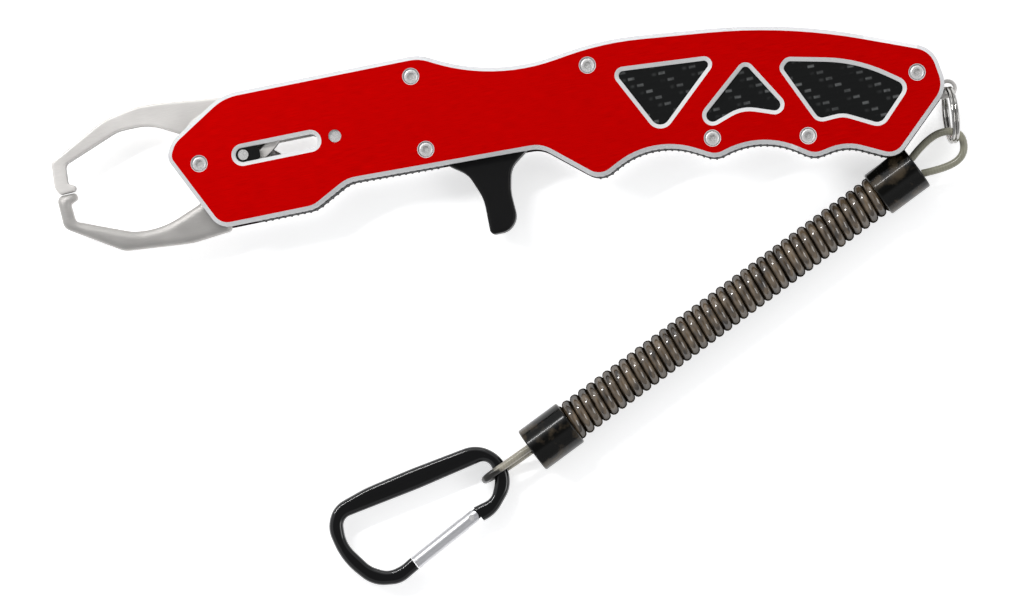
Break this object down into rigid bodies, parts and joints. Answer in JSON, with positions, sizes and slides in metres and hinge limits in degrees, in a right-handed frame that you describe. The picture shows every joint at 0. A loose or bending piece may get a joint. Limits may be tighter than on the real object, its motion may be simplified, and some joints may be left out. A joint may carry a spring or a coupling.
{
  "type": "fishing lip grip",
  "caption": "Pistol-shaped fish lip grip: a trigger opens two hooked steel jaws; a coiled cord lanyard with a snap hook hangs from the handle's tail.",
  "frame": {"origin": "centre of the grip's footprint, on the surface that the grip lies on, below its right side plate", "axes": "+X from the jaws to the tail along the grip's length, +Y towards the back of the handle (the trigger points to -Y), +Z out of the left side plate"},
  "size_m": [0.2338, 0.1343, 0.015],
  "materials": {
    "red_anodised": "satin red anodised, bevels cut back to bright metal",
    "carbon": "twill carbon weave under clear resin",
    "bright_steel": "turned, bright",
    "jaw_steel": "satin stainless with fine lengthwise grain",
    "black_plastic": "matte moulded",
    "ribbed_rubber": "ribbed, matte",
    "chrome_wire": "polished wire",
    "cord": "round braided cord",
    "black_gloss": "glossy black",
    "smoky_coil": "smoky translucent, glossy",
    "gate_aluminium": "bright satin"
  },
  "bodies": {
    "grip": {"left_side_plate": "red_anodised", "right_side_plate": "red_anodised", "left_inlay_front": "carbon", "left_inlay_middle": "carbon", "left_inlay_rear": "carbon", "right_inlay_front": "carbon", "right_inlay_middle": "carbon", "right_inlay_rear": "carbon", "left_screws": "bright_steel", "right_screws": "bright_steel", "standoffs": "bright_steel", "pivot_bush": "bright_steel", "pivot_spacer": "bright_steel", "handle_core": "black_plastic", "finger_strip": "ribbed_rubber", "nose_strip": "ribbed_rubber", "spine_strip": "black_plastic", "guide_pin": "bright_steel", "tail_eye": "jaw_steel"},
    "draw": {"draw_bar": "jaw_steel", "trigger": "black_plastic", "trigger_rivets": "bright_steel", "cross_pin": "bright_steel", "guide_shoes": "black_plastic", "spring_rod": "bright_steel", "return_spring": "bright_steel"},
    "upper_jaw": {"upper_jaw": "jaw_steel"},
    "lower_jaw": {"lower_jaw": "jaw_steel"},
    "lanyard": {"split_ring": "chrome_wire", "tail_loop": "cord", "sleeve_tail": "black_gloss", "coil": "smoky_coil", "sleeve_hook": "black_gloss", "clip_loop": "cord"},
    "hook": {"hook_body": "black_gloss"},
    "gate": {"hook_gate": "gate_aluminium", "gate_pin": "bright_steel", "gate_plunger": "bright_steel", "gate_spring": "bright_steel"}
  },
  "joints": [
    {"name": "trigger_pull", "type": "slide", "parent": "grip", "child": "draw", "axis": [1, 0, 0], "range_m": [0, 0.0145], "stiffness_N_per_m": 600, "springref_m": -0.012, "deforming": ["return_spring"]},
    {"name": "upper_jaw_pivot", "type": "hinge", "parent": "grip", "child": "upper_jaw", "pos_m": [-0.07865, 0.00785, 0.0075], "axis": [0, 0, 1], "range_deg": [-26.05, 0]},
    {"name": "lower_jaw_pivot", "type": "hinge", "parent": "grip", "child": "lower_jaw", "pos_m": [-0.07865, 0.00785, 0.0075], "axis": [0, 0, 1], "range_deg": [0, 26.05]},
    {"name": "lanyard_swing", "type": "hinge", "parent": "grip", "child": "lanyard", "pos_m": [0.11455, -0.01135, 0.0075], "axis": [0, 0, 1], "range_deg": [0, 90]},
    {"name": "hook_swing", "type": "hinge", "parent": "lanyard", "child": "hook", "pos_m": [-0.01846, -0.08474, 0.0044], "axis": [0, 0, 1], "range_deg": [-15, 25]},
    {"name": "gate_swing", "type": "hinge", "parent": "hook", "child": "gate", "pos_m": [-0.02805, -0.09555, 0.0044], "axis": [0, 0, -1], "range_deg": [0, 25], "stiffness_Nm_per_rad": 0.02, "springref_deg": -17.19}
  ],
  "couplings": [
    {"joint": "upper_jaw_pivot", "follows": "trigger_pull", "rad_per_m": -31.296},
    {"joint": "lower_jaw_pivot", "follows": "trigger_pull", "rad_per_m": 31.296}
  ]
}
